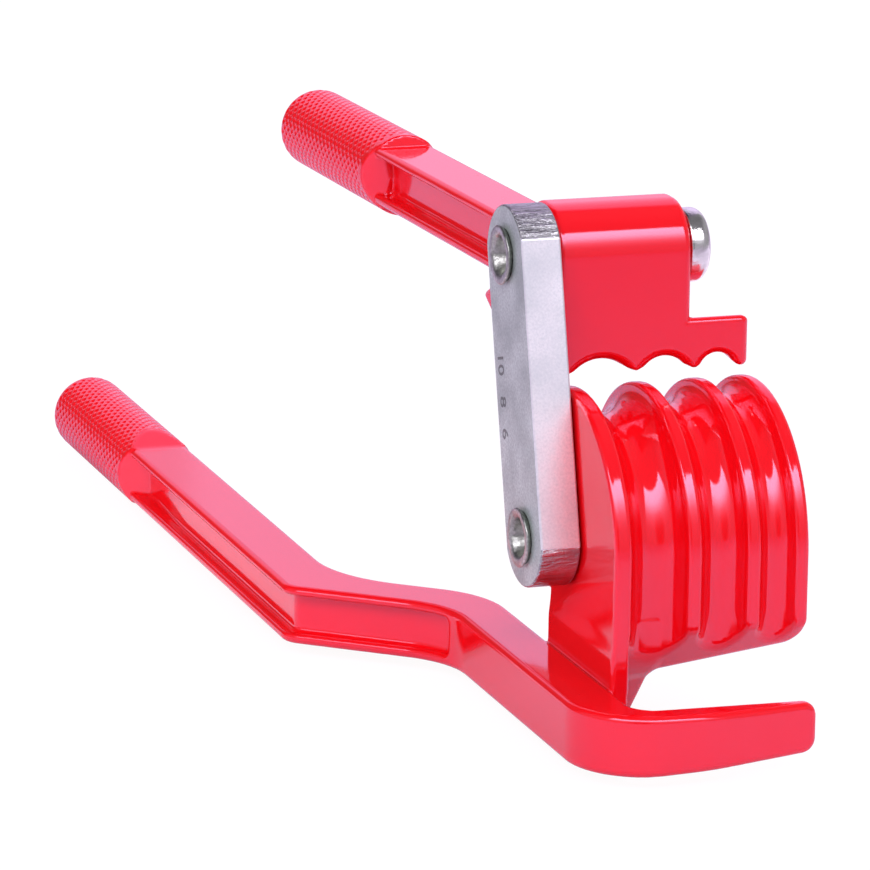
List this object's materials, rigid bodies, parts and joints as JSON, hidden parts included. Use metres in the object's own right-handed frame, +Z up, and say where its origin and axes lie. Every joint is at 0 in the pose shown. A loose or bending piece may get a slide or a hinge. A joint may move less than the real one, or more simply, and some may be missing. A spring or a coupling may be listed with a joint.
{
  "type": "tube bender",
  "caption": "Hand tube bender with a grooved round former on a cranked handle and a grooved shoe on a straight handle, joined by a riveted steel link.",
  "frame": {"origin": "flat underside of the lower arm, straight below the bending axis, in the plane of the link's inner face", "axes": "+Y from the hook bar towards the grips, +Z up from the arm to the former, +X along the bending axis from the link into the former"},
  "size_m": [0.0778, 0.2596, 0.0921],
  "materials": {
    "red_casting": "gloss",
    "link_steel": "satin",
    "rivet_steel": "polished",
    "washer_steel": "satin"
  },
  "bodies": {
    "former_handle": {"former_handle": "red_casting"},
    "link": {"link_plate": "link_steel", "former_rivet": "rivet_steel", "shoe_rivet": "rivet_steel", "former_washer": "washer_steel", "shoe_washer": "washer_steel"},
    "shoe_handle": {"shoe_handle": "red_casting"}
  },
  "joints": [
    {"name": "link_swing", "type": "hinge", "parent": "former_handle", "child": "link", "pos_m": [0, 0, 0.03225], "axis": [1, 0, 0], "range_deg": [-75, 104]},
    {"name": "shoe_swing", "type": "hinge", "parent": "link", "child": "shoe_handle", "pos_m": [0, 0.01243, 0.08068], "axis": [1, 0, 0], "range_deg": [-22, 70]}
  ]
}
